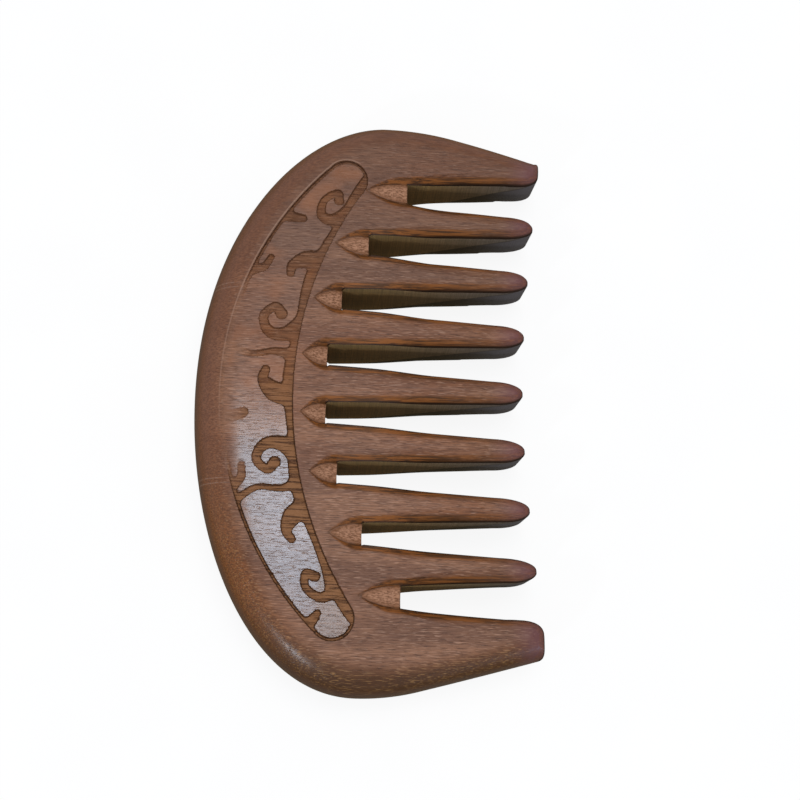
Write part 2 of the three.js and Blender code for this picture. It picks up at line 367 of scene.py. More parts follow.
def outline():
    """The comb's plan outline as two open runs that share their ends: the back with the two end
    edges, and everything that the saw cut, from the lower end tooth's tip to the upper one's."""
    slots = [slot_corners(slot) for slot in range(LAST_TOOTH)]
    upper_tip = end_tip(0, UPPER_HALF, UPPER_END_TIP, slots[0]["upper_mouth"])
    lower_tip = end_tip(LAST_TOOTH, LOWER_HALF, LOWER_END_TIP, slots[-1]["lower_mouth"])
    upper_back = back_curve(UPPER_HALF, upper_tip[0][0])
    lower_back = back_curve(LOWER_HALF, lower_tip[0][0])
    back = resample(np.vstack([upper_back[::-1], lower_back[1:]]), WALL_STEP * 1.15)
    cut = [resample(lower_tip, WALL_STEP * 0.6)]
    for slot in reversed(range(LAST_TOOTH)):
        corners = slots[slot]
        cut += [
            resample(slot_wall(corners["lower_root"], corners["lower_mouth"])[::-1], WALL_STEP),
            resample(bulged(corners["lower_root"], corners["upper_root"], STRAIGHT_BULGE * 2),
                     WALL_STEP * 0.5),
            resample(slot_wall(corners["upper_root"], corners["upper_mouth"]), WALL_STEP),
        ]
        if slot > 0:
            tip = inner_tip(slot, slots[slot - 1]["lower_mouth"], corners["upper_mouth"])
            cut.append(resample(tip[::-1], WALL_STEP * 0.5))
    cut.append(resample(upper_tip[::-1], WALL_STEP * 0.6))
    return back, merge_runs(cut)


def past_tips(run):
    """The back's outline, carried on in a straight line past both tips, so that the edges there
    stay round right to the end."""
    first = run[0] + (run[0] - run[1]) * 60
    last = run[-1] + (run[-1] - run[-2]) * 60
    return np.vstack([first, run, last])


# ---- Carved crescent ------------------------------------------------------------------------

INNER_CENTRE = np.array([CARVING_INNER["x"] + CARVING_INNER["radius"], 0])
OUTER_CENTRE = np.array([CARVING_OUTER["x"] + CARVING_OUTER["radius"], 0])
INNER_REACH = CARVING_INNER["radius"] + CARVING_END_ROUND
OUTER_REACH = CARVING_OUTER["radius"] - CARVING_END_ROUND
END_X = (
    OUTER_REACH**2 - INNER_REACH**2 + INNER_CENTRE[0] ** 2 - OUTER_CENTRE[0] ** 2
) / (2 * (INNER_CENTRE[0] - OUTER_CENTRE[0]))
END_Y = math.sqrt(INNER_REACH**2 - (END_X - INNER_CENTRE[0]) ** 2)
END_TURN = math.atan2(END_Y, INNER_CENTRE[0] - END_X)  # seen from the inner arc's centre


def from_inner_border(places):
    return np.linalg.norm(places - INNER_CENTRE, axis=-1) - CARVING_INNER["radius"]


def inside_crescent(places):
    """Distance to the crescent's border: positive inside it, negative outside."""
    mirrored = np.stack([places[:, 0], np.abs(places[:, 1])], axis=1)
    from_outer = CARVING_OUTER["radius"] - np.linalg.norm(mirrored - OUTER_CENTRE, axis=1)
    to_end = mirrored - np.array([END_X, END_Y])
    end = CARVING_END_ROUND - np.linalg.norm(to_end, axis=1)
    past_end = to_end @ np.array([math.sin(END_TURN), math.cos(END_TURN)]) > 0
    return np.where(past_end, end, np.minimum(from_inner_border(mirrored), from_outer))


def band_width(turn):
    """Width of the crescent along a ray from the inner arc's centre."""
    ray = np.stack([-np.cos(turn), np.sin(turn)], axis=-1)
    offset = OUTER_CENTRE - INNER_CENTRE
    along = ray @ offset
    reach = along + np.sqrt(along**2 - offset @ offset + CARVING_OUTER["radius"] ** 2)
    return reach - CARVING_INNER["radius"]


def band_point(along, across):
    """A point of the crescent: along it from -1 to 1, and across it from the inner border, 0,
    to the outer one, 1."""
    turn = along * END_TURN
    radius = CARVING_INNER["radius"] + across * band_width(np.array(turn))
    return INNER_CENTRE + radius * np.array([-math.cos(turn), math.sin(turn)])


# The carving is a plain running scroll. A groove is a stroke through these places, each given as
# its place along its cell, its place across the band and the half width there, in millimetres.
CURL = [(0.02, 0.00, 1.7), (-0.17, 0.20, 1.35), (-0.17, 0.44, 1.0), (0.04, 0.57, 0.8),
        (0.22, 0.44, 0.85), (0.13, 0.32, 1.05)]
LOBE = [(-0.12, 0.02, 1.9), (-0.06, 0.25, 1.8), (0.10, 0.42, 1.0), (0.24, 0.40, 0.75)]
STEM = [(-0.50, 0.00, 1.2), (-0.46, 0.30, 0.65), (-0.54, 0.64, 0.55), (-0.44, 1.00, 0.7)]
NOTCH = [(0.40, 1.02, 0.9), (0.28, 0.84, 0.75), (0.10, 0.80, 0.6)]
BLOCK = [(-0.40, 1.03, 1.2), (-0.38, 0.84, 1.1), (-0.34, 0.68, 0.8)]
CELLS = [[CURL, BLOCK], [LOBE, STEM], [CURL, NOTCH], [LOBE, BLOCK], [CURL, STEM], [LOBE, NOTCH],
         [CURL, BLOCK]]
FLIPPED_CELLS = (1, 2, 5)
GROOVE_FILLET = 0.9
CHANNEL_WIDTH = 1.5  # of the recessed strip along the inner border
BORDER_WIDTH = 0.5  # of the recessed line around the rest of the crescent


def groove_strokes():
    """Every groove as a chain of points with its half width, in millimetres."""
    strokes = []
    for number, cell in enumerate(CELLS):
        middle = (number + 0.5) * 2 / len(CELLS) - 1
        flip = -1 if number in FLIPPED_CELLS else 1
        size = 1 + 0.1 * math.sin(2.4 * number)
        for stroke in cell:
            curve = curve_through(stroke, 9)
            along = middle + flip * curve[:, 0] * 2 / len(CELLS) * size
            points = np.array([band_point(u, v) for u, v in zip(along, curve[:, 1])])
            narrowing = 0.45 + 0.55 * band_width(along * END_TURN) / band_width(np.array(0.0))
            strokes.append((points, curve[:, 2] * narrowing))
    return strokes


def inside_grooves(places):
    """Distance to the edge of the recessed ground: positive in it, negative on raised wood."""
    inside = inside_crescent(places)
    channel = CHANNEL_WIDTH + 0.4 * np.sin(places[:, 1] * 0.31 + 1)
    ground = np.maximum(channel - from_inner_border(places), BORDER_WIDTH - inside)
    for points, widths in groove_strokes():
        near = np.linalg.norm(places - points.mean(axis=0), axis=1) < 14
        part = places[near]
        groove = np.full(len(part), -np.inf)
        for a, b, wide_a, wide_b in zip(points, points[1:], widths, widths[1:]):
            away, along = segment_distance(part, a, b)
            groove = np.maximum(groove, wide_a + (wide_b - wide_a) * along - away)
        ground[near] = soft_max(ground[near], groove, GROOVE_FILLET)
    return np.minimum(ground, inside)


def carving_strength(places):
    """1 where the carving is crisp. It fades towards the back in the middle of the comb, where
    the edge was sanded round after the carving."""
    turn = np.arctan2(places[:, 1], INNER_CENTRE[0] - places[:, 0])
    width = np.maximum(band_width(np.clip(turn, -END_TURN, END_TURN)), 1)
    in_middle = 1 - smooth(14, 24, np.abs(places[:, 1] - 2))
    return 1 - in_middle * smooth(0.45, 0.85, from_inner_border(places) / width)


# ---- Heights --------------------------------------------------------------------------------

def arch_bevel(share):
    """Width of the bevel along a ramp's edge, which runs out at the arch's point."""
    return BEVEL_WIDTH[0] * smooth(-0.1, 0.9, share)


def arch_half_width(share):
    """Half width of a ramp's pointed arch, from its point, 0, to the slot's root, 1."""
    return SLOT_ROOT_WIDTH / 2 * (1 - (1 - np.clip(share, 0, 1)) ** 2.3)


class Relief:
    """Everything about a place on a face that its height and its finish depend on."""

    def __init__(self, places, back, cut, carved):
        x, y = places.T
        self.from_back = back.distance(places)
        self.from_cut = cut.distance(places)
        self.along = along_tooth(x, y)
        self.bevel = bevel_width(self.along)
        self.bevel_depth = bevel_depth(x)
        self.edge_round = edge_round(x)
        self.face = face_height(x)
        self.to_tip = tip_x(y) - x
        self.ramps(x, y)
        if carved:
            self.crescent = np.clip(inside_crescent(places), -2, 2)
            self.ground = np.clip(inside_grooves(places), -2, 2)
            self.strength = carving_strength(places)
        else:
            self.crescent = np.full(len(places), -2.0)
            self.ground = self.crescent
            self.strength = np.zeros(len(places))

    def ramps(self, x, y):
        """in_arch is the distance to the nearest ramp's edge, positive on the ramp."""
        middle = nearest_slot_y(y)
        root, point = bowed(SLOT_ROOT, middle), bowed(RAMP_POINT, middle)
        share = (x - point) / (root - point)
        steep = 0.85  # turns the width left in Y into a distance from the arch's slanting side
        self.in_arch = (arch_half_width(share) - np.abs(y - middle)) * steep
        before = -np.hypot(x - point, y - middle)
        self.in_arch = np.where(share < 0, before, self.in_arch)
        self.in_arch = np.where(share > 1.02, -2.0, self.in_arch)
        self.ramp_depth = RAMP_DEPTH * np.clip(share, 0, 1)
        self.arch_bevel = arch_bevel(share)

    def bevel_fall(self):
        """How far the bevels lie below the face: flat at the roots, and round at the tips."""
        flat = np.clip(1 - self.from_cut / self.bevel, 0, 1)
        rounded = 1 - np.sqrt(1 - flat**2)
        fall = flat + (rounded - flat) * smooth(0.1, 0.6, self.along)
        return fall * self.bevel_depth - np.maximum(self.from_cut - self.bevel, 0)

    def height(self):
        rounding = np.clip(1 - self.from_back / self.edge_round, 0, 1)
        face = MIDDLE + (self.face - MIDDLE) * np.sqrt(1 - rounding**2)
        tip = np.clip(1 - self.to_tip / TIP_FALL, 0, 1)
        fall = 1 - (1 - TIP_EDGE_SHARE) * (1 - np.sqrt(1 - tip**2))
        tip_face = MIDDLE + (self.face - MIDDLE) * fall
        z = np.minimum(face, tip_face)
        softness = EDGE_SOFTNESS + 0.6 * self.along**1.5
        z = soft_min(z, self.face - self.bevel_fall(), softness)
        beside_arch = self.face - self.arch_bevel - self.in_arch
        z = np.where(self.in_arch < 0, soft_min(z, beside_arch, EDGE_SOFTNESS), z)
        floor = THICKNESS - self.ramp_depth
        z = np.where(self.in_arch > 0, np.minimum(z, floor), z)
        carved = smooth(-EDGE_GAP, EDGE_GAP, self.ground) * self.strength
        return z - CARVING_DEPTH * carved

    def values(self):
        """What the finish needs to know at each point."""
        beside_arch = np.where(self.in_arch < 0, -self.in_arch - self.arch_bevel, 2)
        beyond_bevel = np.minimum(self.from_cut - BEVEL_STRIP, beside_arch)
        return dict(
            ground=self.ground,
            crescent=self.crescent,
            strength=self.strength,
            in_arch=np.clip(self.in_arch, -1.5, 1.5),
            bevel=np.clip(beyond_bevel, -2, 2),
            from_cut=np.clip(self.from_cut, 0, 2),
            along=self.along,
            rim=np.clip(self.from_back / self.edge_round, 0, 1.5),
            tip=np.clip(self.to_tip / TIP_FALL, 0, 10),
        )


ATTRIBUTES = ("ground", "crescent", "strength", "in_arch", "bevel", "from_cut", "along", "rim",
              "tip")


def ridge_height(x, y):
    return RIDGE_AT_ROOT + (RIDGE_AT_TIP - RIDGE_AT_ROOT) * along_tooth(x, y)


# ---- Points of the mesh ---------------------------------------------------------------------

def inward_normals(loop):
    """Unit normals of a closed loop that runs anticlockwise, pointing inside."""
    along = np.roll(loop, -1, axis=0) - np.roll(loop, 1, axis=0)
    along /= np.linalg.norm(along, axis=1)[:, None]
    return np.stack([-along[:, 1], along[:, 0]], axis=1)


def hex_grid(low, high, step):
    rows = np.arange(low[1], high[1], step * math.sqrt(3) / 2)
    columns = np.arange(low[0], high[0], step)
    grid = [np.stack([columns + step / 2 * (i % 2), np.full(len(columns), y)], axis=1)
            for i, y in enumerate(rows)]
    return np.vstack(grid)


def inside_loop(places, loop):
    """Which places are inside a closed loop, by counting crossings."""
    inside = np.zeros(len(places), bool)
    for (x0, y0), (x1, y1) in zip(loop, np.roll(loop, -1, axis=0)):
        if y0 == y1:
            continue
        crosses = (places[:, 1] > min(y0, y1)) & (places[:, 1] <= max(y0, y1))
        at = x0 + (places[:, 1] - y0) * (x1 - x0) / (y1 - y0)
        inside ^= crosses & (places[:, 0] < at)
    return inside


def thinned(places, others, gap):
    """The places that are at least this far from all the others."""
    tree = point_tree(others)
    away = np.array([tree.find((x, y, 0))[2] for x, y in places])
    return places[away > gap]


def offset_row(loop, normals, offset, back, cut, closest):
    """The loop moved inwards, without the points that come too near another stretch of it."""
    points = loop + normals * offset[:, None]
    keep = cut.distance(points) > closest["cut"]
    keep &= back.distance(points) > closest["back"]
    return points[keep]


def edge_rows(loop, count_back, back, cut):
    """Rows of points that follow the rounded edge and the bevels."""
    normals = inward_normals(loop)
    round_loop, round_normals = loop[:count_back], normals[:count_back]
    reach = edge_round(round_loop[:, 0])
    rows = []
    for turn in RIM_ROWS:
        offset = reach * (1 - np.cos(turn))
        closest = dict(cut=0.5, back=0)
        some = slice(None, None, 1 if turn < 1 else 2)
        rows.append(
            offset_row(round_loop[some], round_normals[some], offset[some], back, cut, closest)
        )
    saw_loop, saw_normals = loop[count_back:], normals[count_back:]
    bevel = bevel_width(along_tooth(*saw_loop.T))
    for share, extra in BEVEL_ROWS:
        offset = bevel * share + extra
        closest = dict(cut=0.93 * offset, back=0.6)
        rows.append(offset_row(saw_loop, saw_normals, offset, back, cut, closest))
    return np.vstack(rows)


def arch_rows():
    """Rows of points on both sides of each ramp's edge, along its bevel and on its floor."""
    points = []
    for slot in range(LAST_TOOTH):
        y = slot_y(slot)
        root, point = bowed(SLOT_ROOT, y), bowed(RAMP_POINT, y)
        for share in np.linspace(0.03, 0.985, 26) ** 1.4:
            x = point + share * (root - point)
            half = arch_half_width(share)
            beside = arch_bevel(share)
            for offset in (EDGE_GAP, -EDGE_GAP, -EDGE_GAP - beside / 2, -EDGE_GAP - beside,
                           -0.3 - beside):
                if half - offset > 0.05:
                    points += [(x, y + half - offset), (x, y - half + offset)]
            points += [(x, y + half * f) for f in (-0.5, 0, 0.5) if half > 0.5]
    return np.array(points)


def carving_points(loop):
    """Fine points all over the crescent, the ones by a groove's edge moved to its top or foot."""
    reach_x = (CARVING_OUTER["x"] - 2, END_X + CARVING_END_ROUND + 1)
    reach_y = (-END_Y - CARVING_END_ROUND - 1, END_Y + CARVING_END_ROUND + 1)
    places = hex_grid((reach_x[0], reach_y[0]), (reach_x[1], reach_y[1]), FINE_STEP)
    places = places[inside_crescent(places) > -0.25]
    nudge = 0.01
    for _ in range(2):
        distance = inside_grooves(places)
        near = np.abs(distance) < FINE_STEP * 0.75
        slope = np.stack([
            inside_grooves(places[near] + [nudge, 0]) - distance[near],
            inside_grooves(places[near] + [0, nudge]) - distance[near],
        ], axis=1) / nudge
        slope /= np.maximum(np.linalg.norm(slope, axis=1), 0.3)[:, None]
        wanted = np.where(distance[near] > 0, EDGE_GAP, -EDGE_GAP)
        places[near] += slope * (wanted - distance[near])[:, None]
    return thinned(places[inside_crescent(places) > -0.3], loop, 1.0)


def triangulated(loop, places):
    """Triangles over the loop and the places inside it. The loop's points come first."""
    points = [Vector(p) for p in np.vstack([loop, places]).tolist()]
    edges = [(i, (i + 1) % len(loop)) for i in range(len(loop))]
    made = delaunay_2d_cdt(points, edges, [], 1, 1e-7, True)
    verts = np.array([tuple(v) for v in made[0]])
    source = np.array([origin[0] for origin in made[3]])
    triangles = np.array(made[2])
    # Triangles across a slot have all of their corners on the loop.
    kept = np.ones(len(triangles), bool)
    by_loop = (source[triangles] < len(loop)).all(axis=1)
    kept[by_loop] = inside_loop(verts[triangles[by_loop]].mean(axis=1), loop)
    place = {int(s): i for i, s in enumerate(source) if 0 <= s < len(loop)}
    loop_numbers = np.array([place[i] for i in range(len(loop))])
    return verts, triangles[kept], loop_numbers


# ---- The comb's mesh ------------------------------------------------------------------------

class Skin:
    """The mesh as it grows: points with what the finish needs to know there, and triangles."""

    def __init__(self):
        self.count = 0
        self.points, self.triangles, self.on_wall = [], [], []
        self.values = {name: [] for name in ATTRIBUTES}

    def add_points(self, points, values):
        """Adds points and returns their numbers."""
        self.points.append(points)
        for name in ATTRIBUTES:
            self.values[name].append(values[name])
        self.count += len(points)
        return np.arange(self.count - len(points), self.count)

    def add_triangles(self, triangles, on_wall):
        self.triangles.append(triangles)
        self.on_wall.append(np.full(len(triangles), float(on_wall)))

    def values_at(self, numbers):
        return {name: np.concatenate(parts)[numbers] for name, parts in self.values.items()}

    def place_of(self, numbers):
        return np.vstack(self.points)[numbers]

    def weld(self, numbers, onto):
        """Puts the second points in the place of the first ones in every triangle."""
        same = np.arange(self.count)
        same[numbers] = onto
        self.triangles = [same[triangles] for triangles in self.triangles]

    def mesh(self, name):
        corners = np.vstack(self.triangles)
        a, b, c = corners.T
        proper = (a != b) & (b != c) & (c != a)
        # Two triangles on the same three points are a flat pocket at the rim, and both go.
        ordered = np.sort(corners, axis=1)
        _, which, times = np.unique(ordered, axis=0, return_inverse=True, return_counts=True)
        proper &= times[which.ravel()] == 1
        used, packed = np.unique(corners[proper], return_inverse=True)
        points = np.vstack(self.points)[used]
        triangles = packed.reshape(-1, 3)
        mesh = bpy.data.meshes.new(name)
        mesh.from_pydata((points * MM).tolist(), [], triangles.tolist())
        for value_name, value in self.values_at(used).items():
            add_values(mesh, value_name, "POINT", value)
        add_values(mesh, "ridge", "POINT", points[:, 2] - ridge_height(*points[:, :2].T))
        add_values(mesh, "wall", "FACE", np.concatenate(self.on_wall)[proper])
        mesh.polygons.foreach_set("use_smooth", np.ones(len(triangles), bool))
        mesh.set_sharp_from_angle(angle=math.radians(SHARP_ANGLE))
        mesh.update()
        return mesh


def add_values(mesh, name, domain, values):
    mesh.attributes.new(name, "FLOAT", domain).data.foreach_set("value", values.astype("f"))


def add_face(skin, loop, guides, count_back, carved):
    """The front face, or the back face where the comb isn't carved. Returns the numbers of the
    loop's points."""
    back_run = loop[: count_back + 1]
    back = Line(back_run)
    cut = Line(np.vstack([loop[count_back:], loop[0]]))
    grid = hex_grid(loop.min(axis=0), loop.max(axis=0), COARSE_STEP)
    filled = thinned(grid[inside_loop(grid, loop)], np.vstack([guides, loop]), COARSE_STEP * 0.55)
    if carved:
        guides = guides[inside_crescent(guides) < -0.28]
        filled = filled[inside_crescent(filled) < -0.5]
        filled = np.vstack([filled, carving_points(loop)])
    flat, triangles, loop_numbers = triangulated(loop, np.vstack([guides, filled]))
    relief = Relief(flat, Line(past_tips(back.points)), cut, carved)
    z = relief.height()
    z[loop_numbers[: count_back + 1]] = MIDDLE
    if not carved:
        z = THICKNESS - z
        triangles = triangles[:, ::-1]
    numbers = skin.add_points(np.column_stack([flat, z]), relief.values())
    skin.add_triangles(numbers[0] + triangles, on_wall=False)
    return numbers[loop_numbers]


def back_face_loop(loop, count_back):
    """The walls lean in below their ridge, so that the back face is a little narrower there."""
    leaning = np.arange(len(loop)) > count_back
    along = along_tooth(*loop.T)
    lowest = bevel_depth(loop[:, 0]) + TAPER_PER_SIDE * along
    ridge = np.maximum(soft_min(ridge_height(*loop.T), THICKNESS - lowest, 3), lowest)
    inset = WALL_LEAN * (ridge - lowest) * leaning
    return loop + inward_normals(loop) * inset[:, None]


def add_walls(skin, front, behind, count_back):
    """The slots' walls and the tips, between the front face's edge and the back face's."""
    wall = np.append(np.arange(count_back, len(front)), 0)
    inner = wall[1:-1]
    top, foot = skin.place_of(front[inner]), skin.place_of(behind[inner])
    low, high = foot[:, 2] + RIDGE_MARGIN, top[:, 2] - RIDGE_MARGIN
    ridge = np.clip(ridge_height(*top[:, :2].T), low, high)
    crest = np.column_stack([top[:, :2], ridge])
    values = skin.values_at(front[inner])
    rows = [front]
    for start, end, shares in ((top, crest, (0.25, 0.5, 0.75, 1)), (crest, foot, (0.5,))):
        for share in shares:
            row = front.copy()
            row[inner] = skin.add_points(start + (end - start) * share, values)
            rows.append(row)
    rows.append(behind)
    for upper, lower in zip(rows, rows[1:]):
        this, following = wall[:-1], wall[1:]
        skin.add_triangles(np.stack([upper[this], lower[this], lower[following]], axis=1), True)
        skin.add_triangles(np.stack([upper[this], lower[following], upper[following]], axis=1), True)


def comb_mesh():
    back_run, cut_run = outline()
    loop = np.vstack([back_run[:-1], cut_run[:-1]])
    count_back = len(back_run) - 1
    behind_loop = back_face_loop(loop, count_back)
    edges = edge_rows(loop, count_back, Line(back_run), Line(cut_run))
    guides = np.vstack([edges, arch_rows()])
    skin = Skin()
    front = add_face(skin, loop, guides, count_back, carved=True)
    behind_guides = thinned(guides[inside_loop(guides, behind_loop)], behind_loop, 0.12)
    behind = add_face(skin, behind_loop, behind_guides, count_back, carved=False)
    add_walls(skin, front, behind, count_back)
    # The rounded edge has one row of points, which both faces share.
    shared = np.arange(count_back + 1)
    skin.weld(behind[shared], front[shared])
    mesh = skin.mesh("carved_comb")
    print("comb mesh:", len(mesh.vertices), "points,", len(mesh.polygons), "triangles")
    return mesh


# ---- Finishes -------------------------------------------------------------------------------

def shade(red, green, blue):
    """A colour given as it looks on a screen, 0 to 255, as linear light."""
    parts = [c / 255 for c in (red, green, blue)]
    linear = [c / 12.92 if c <= 0.04045 else ((c + 0.055) / 1.055) ** 2.4 for c in parts]
    return (*linear, 1)


class Nodes:
    """A node tree, with short calls for the nodes that it is made of."""

    def __init__(self, tree):
        self.tree = tree

    def node(self, kind, inputs=(), **settings):
        made = self.tree.nodes.new("ShaderNode" + kind)
        for name, value in settings.items():
            setattr(made, name, value)
        for socket, value in dict(inputs).items():
            self.wire(value, made.inputs[socket])
        return made

    def wire(self, value, socket):
        if isinstance(value, bpy.types.NodeSocket):
            self.tree.links.new(value, socket)
        else:
            socket.default_value = value

    def ramped(self, value, low, high, start=0, end=1):
        """A soft step: start where the value is low, and end where it is high."""
        inputs = {"Value": value, 1: low, 2: high, 3: start, 4: end}
        return self.node("MapRange", inputs, interpolation_type="SMOOTHSTEP").outputs[0]

    def mixed(self, share, a, b):
        inputs = {"Factor": share, 6: a, 7: b}
        return self.node("Mix", inputs, data_type="RGBA").outputs[2]


class Finish(Nodes):
    """A material's nodes."""

    def __init__(self, name):
        self.material = bpy.data.materials.new(name)
        self.material.use_nodes = True
        super().__init__(self.material.node_tree)
        self.shader = self.tree.nodes["Principled BSDF"]

    def attribute(self, name):
        return self.node("Attribute", attribute_name=name).outputs["Fac"]

    def place(self, stretch, shift=(0, 0, 0)):
        """The comb's own coordinates in millimetres, stretched and shifted."""
        where = self.node("TexCoord").outputs["Object"]
        scale = tuple(s / MM for s in stretch)
        return self.node("Mapping", {"Vector": where, "Scale": scale, "Location": shift}).outputs[0]

    def along_comb(self):
        return self.node("SeparateXYZ", {"Vector": self.place((1, 1, 1))}).outputs["Y"]

    def noise(self, where, detail=2, roughness=0.5, scale=1):
        inputs = {"Vector": where, "Scale": scale, "Detail": detail, "Roughness": roughness}
        return self.node("TexNoise", inputs).outputs["Fac"]

    def maths(self, operation, a, b=0.0):
        return self.node("Math", {0: a, 1: b}, operation=operation).outputs[0]

    def times(self, a, b):
        return self.maths("MULTIPLY", a, b)

    def plus(self, a, b):
        return self.maths("ADD", a, b)

    def near_zero(self, value, near, far, strength=1):
        """A soft line, at this strength where the value is 0."""
        return self.ramped(self.maths("ABSOLUTE", value), near, far, strength, 0)

    def blended(self, share, a, b):
        """A plain number between a and b."""
        return self.node("Mix", {"Factor": share, 2: a, 3: b}).outputs[0]

    def finished(self, colour, roughness, height, depth):
        """Wires up the shader, with a bump of this depth in millimetres."""
        self.wire(colour, self.shader.inputs["Base Color"])
        self.wire(roughness, self.shader.inputs["Roughness"])
        bump = self.node("Bump", {"Height": height, "Strength": 0.6, "Distance": depth * MM})
        self.wire(bump.outputs[0], self.shader.inputs["Normal"])
        return self.material


def wood_finish():
    """Oiled and polished reddish-brown hardwood, its grain along the teeth."""
    f = Finish("polished_wood")
    fibres = f.noise(f.place((0.22, 4.4, 4.4), (5, 2, 0)), 3, 0.62)
    flecks = f.ramped(f.noise(f.place((0.5, 5.6, 5.6), (8, 1, 6)), 1, 0.5), 0.56, 0.7)
    polish = polished_share(f)
    look = plain_face(f, fibres, flecks, polish)
    look = crescent_face(f, look)
    look = rounded_edges(f, look, fibres, flecks)
    look = bevels(f, look, fibres)
    look = carved_ground(f, look)
    look = ramp_floors(f, look)
    look = sawn_walls(f, look)
    f.wire(f.blended(polish, 0.24, 0.62), f.shader.inputs["Specular IOR Level"])
    return f.finished(*look, depth=0.05)


def polished_share(f):
    """1 on what stands up in the crescent's -Y half, which was polished most. Less where it was
    worn towards the back, and on the round edges."""
    polished_end = f.ramped(f.along_comb(), -16, 8, 1, 0.1)
    on_island = f.times(f.ramped(f.attribute("crescent"), -0.1, 0.1),
                        f.ramped(f.attribute("ground"), -0.1, 0, 1, 0))
    rim = f.attribute("rim")
    worn = f.times(f.ramped(rim, 0.95, 1.45, 1, 0), f.ramped(f.along_comb(), -34, -18))
    on_island = f.times(f.times(on_island, polished_end), f.maths("SUBTRACT", 1, worn))
    on_edge = f.ramped(rim, 0.6, 1.0, 0.5, 0)
    off_wall = f.maths("SUBTRACT", 1, f.attribute("wall"))
    return f.times(f.maths("MAXIMUM", on_island, on_edge), off_wall)


def plain_face(f, fibres, flecks, polish):
    """The wood's own colour, with painted shade that darkens it towards the +Y end."""
    figure = f.noise(f.place((0.02, 0.16, 0.16)), 3, 0.55)
    warmth = f.noise(f.place((0.03, 0.05, 0.05), (2, 7, 3)), 2, 0.5)
    pores = f.ramped(f.noise(f.place((0.5, 6.2, 6.2), (3, 7, 1)), 2, 0.5), 0.56, 0.66)
    threads = f.noise(f.place((0.32, 4.6, 4.6), (1, 9, 4)), 2, 0.5)
    veins = f.ramped(f.noise(f.place((0.16, 2.6, 2.6), (6, 6, 2)), 3, 0.65), 0.54, 0.64)
    colour = f.mixed(f.ramped(figure, 0.36, 0.64), shade(110, 72, 51), shade(140, 97, 71))
    colour = f.mixed(f.ramped(warmth, 0.42, 0.66, 0, 0.5), colour, shade(136, 80, 46))
    colour = f.mixed(f.ramped(fibres, 0.38, 0.66, 0, 0.6), colour, shade(86, 52, 36))
    colour = f.mixed(f.times(veins, 0.45), colour, shade(78, 47, 32))
    colour = f.mixed(f.times(pores, 0.6), colour, shade(58, 34, 24))
    colour = f.mixed(f.times(flecks, 0.38), colour, shade(182, 142, 118))
    # Painted shade: darker towards the +Y end, where less light falls.
    colour = f.mixed(f.ramped(f.along_comb(), 0, 48, 0, 0.5), colour, shade(80, 50, 34))
    colour = f.mixed(f.ramped(polish, 0.6, 1, 0, 0.5), colour, shade(78, 54, 44))
    roughness = f.plus(f.blended(threads, 0.4, 0.5), f.times(polish, -0.26))
    threads = f.times(threads, f.blended(polish, 0.45, 0.12))
    height = f.plus(f.times(pores, -0.35), threads)
    return colour, roughness, height


def crescent_face(f, look):
    """Smooth orange patches in the crescent's upper part, and a painted highlight: a pale line along
    its outer border."""
    colour, roughness, height = look
    upper = f.ramped(f.along_comb(), -14, 4)
    crescent = f.attribute("crescent")
    patches = f.ramped(f.noise(f.place((0.1, 0.12, 0.12), (4, 4, 4)), 2, 0.5), 0.44, 0.64)
    patches = f.times(f.times(patches, upper), f.ramped(crescent, 0.1, 1.4, 0, 0.5))
    colour = f.mixed(patches, colour, shade(144, 86, 46))
    # A painted highlight: a pale line just outside the crescent's outer border, in its upper part.
    beside = f.near_zero(f.plus(crescent, 0.3), 0.06, 0.2, 0.3)
    outer = f.times(upper, f.ramped(f.attribute("rim"), 1.3, 1.5, 1, 0))
    colour = f.mixed(f.times(beside, outer), colour, shade(180, 146, 124))
    return colour, roughness, height


def rounded_edges(f, look, fibres, flecks):
    """The back is redder towards its edge and more orange on the -Y side. Painted shade darkens its
    far -Y end and its outermost edge, and the tips carry a painted mauve sheen.
    """
    colour, roughness, height = look
    rim = f.attribute("rim")
    along_comb = f.along_comb()
    low_side = f.ramped(along_comb, -36, -4, 1, 0)
    rounded = f.ramped(rim, 0.45, 1.1, 1, 0)
    red = f.mixed(f.ramped(fibres, 0.35, 0.65), shade(124, 80, 56), shade(98, 60, 42))
    orange = f.mixed(f.ramped(fibres, 0.35, 0.65), shade(136, 78, 30), shade(88, 48, 14))
    # Painted shade: the orange darkens at the far -Y end, which faces away from the light.
    orange = f.mixed(f.ramped(along_comb, -52, -34, 0.9, 0), orange, shade(60, 33, 4))
    orange = f.mixed(f.times(flecks, 0.45), orange, shade(176, 128, 62))
    colour = f.mixed(f.times(rounded, 0.8), colour, f.mixed(low_side, red, orange))
    # Painted shade along the outermost edge of the rounded back.
    painted_rim_shade = f.ramped(rim, 0.0, 0.24, 0.75, 0)
    colour = f.mixed(painted_rim_shade, colour, shade(88, 64, 58))
    # A painted mauve sheen on the tips, where their faces curve down.
    painted_tip_sheen = f.ramped(f.attribute("tip"), 0.1, 2.2, 0.8, 0)
    colour = f.mixed(painted_tip_sheen, colour, shade(108, 68, 72))
    # Two pairs of fine lines were scored across the rounded back.
    from_pair = f.plus(f.maths("ABSOLUTE", f.plus(along_comb, -1)), -18.5)
    from_line = f.plus(f.maths("ABSOLUTE", from_pair), -0.45)
    scored = f.near_zero(from_line, 0.04, 0.16, 0.5)
    scored = f.times(f.times(scored, rounded), f.ramped(fibres, 0.4, 0.6))
    return f.mixed(scored, colour, shade(170, 140, 122)), roughness, height


